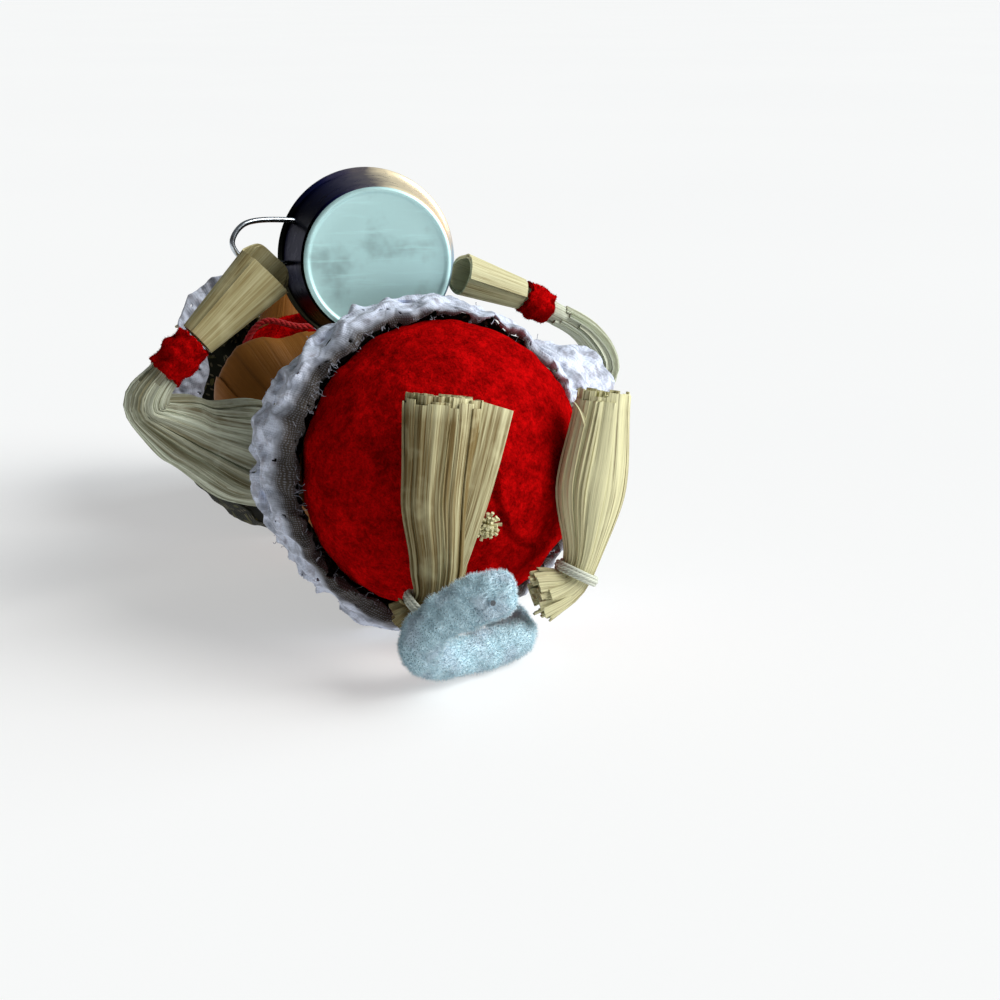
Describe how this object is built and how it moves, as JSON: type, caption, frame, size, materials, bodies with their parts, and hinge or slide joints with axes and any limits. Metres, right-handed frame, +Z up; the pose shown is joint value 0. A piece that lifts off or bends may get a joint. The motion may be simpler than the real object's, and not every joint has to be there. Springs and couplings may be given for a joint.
{
  "type": "corn husk mouse ornament",
  "caption": "Corn husk mouse ornament lying on its back, with a stuffed red felt body, calico skirt and bonnet, lace trim, husk arms and feet, a chenille tail and a tin cup.",
  "frame": {"origin": "on the table under the flat of the skirt's back, on the doll's middle plane", "axes": "+X to the mouse's left, +Y along the table towards its head, +Z up, the way its front faces as it lies"},
  "size_m": [0.0908, 0.1503, 0.0744],
  "materials": {
    "red_felt": "brushed nap",
    "calico": "printed cotton",
    "lace": "cotton lace",
    "husk": "dry corn husk, ribbed",
    "pale_husk": "pale corn husk, pleated",
    "tan_husk": "smooth tan corn husk",
    "chenille": "chenille pile",
    "tin": "bright tin",
    "string": "pale string",
    "bead": "gloss black"
  },
  "bodies": {
    "root": {"red_body": "red_felt", "skirt": "calico", "hem_lace": "lace", "right_foot": "husk", "left_foot": "husk", "straw_tuft": "husk", "tail": "chenille", "bodice": "tan_husk", "right_foot_tie": "string", "right_sleeve": "pale_husk", "right_cuff": "red_felt", "right_hand": "husk", "right_ear": "husk", "left_foot_tie": "string", "left_sleeve": "pale_husk", "left_cuff": "red_felt", "left_hand": "husk", "left_ear": "husk", "tin_cup": "tin", "cup_handle": "tin", "neck_scarf": "red_felt", "neck_cord": "red_felt", "head": "tan_husk", "right_eye": "bead", "left_eye": "bead", "nose": "bead", "bonnet": "calico", "bonnet_lace": "lace"}
  },
  "joints": []
}
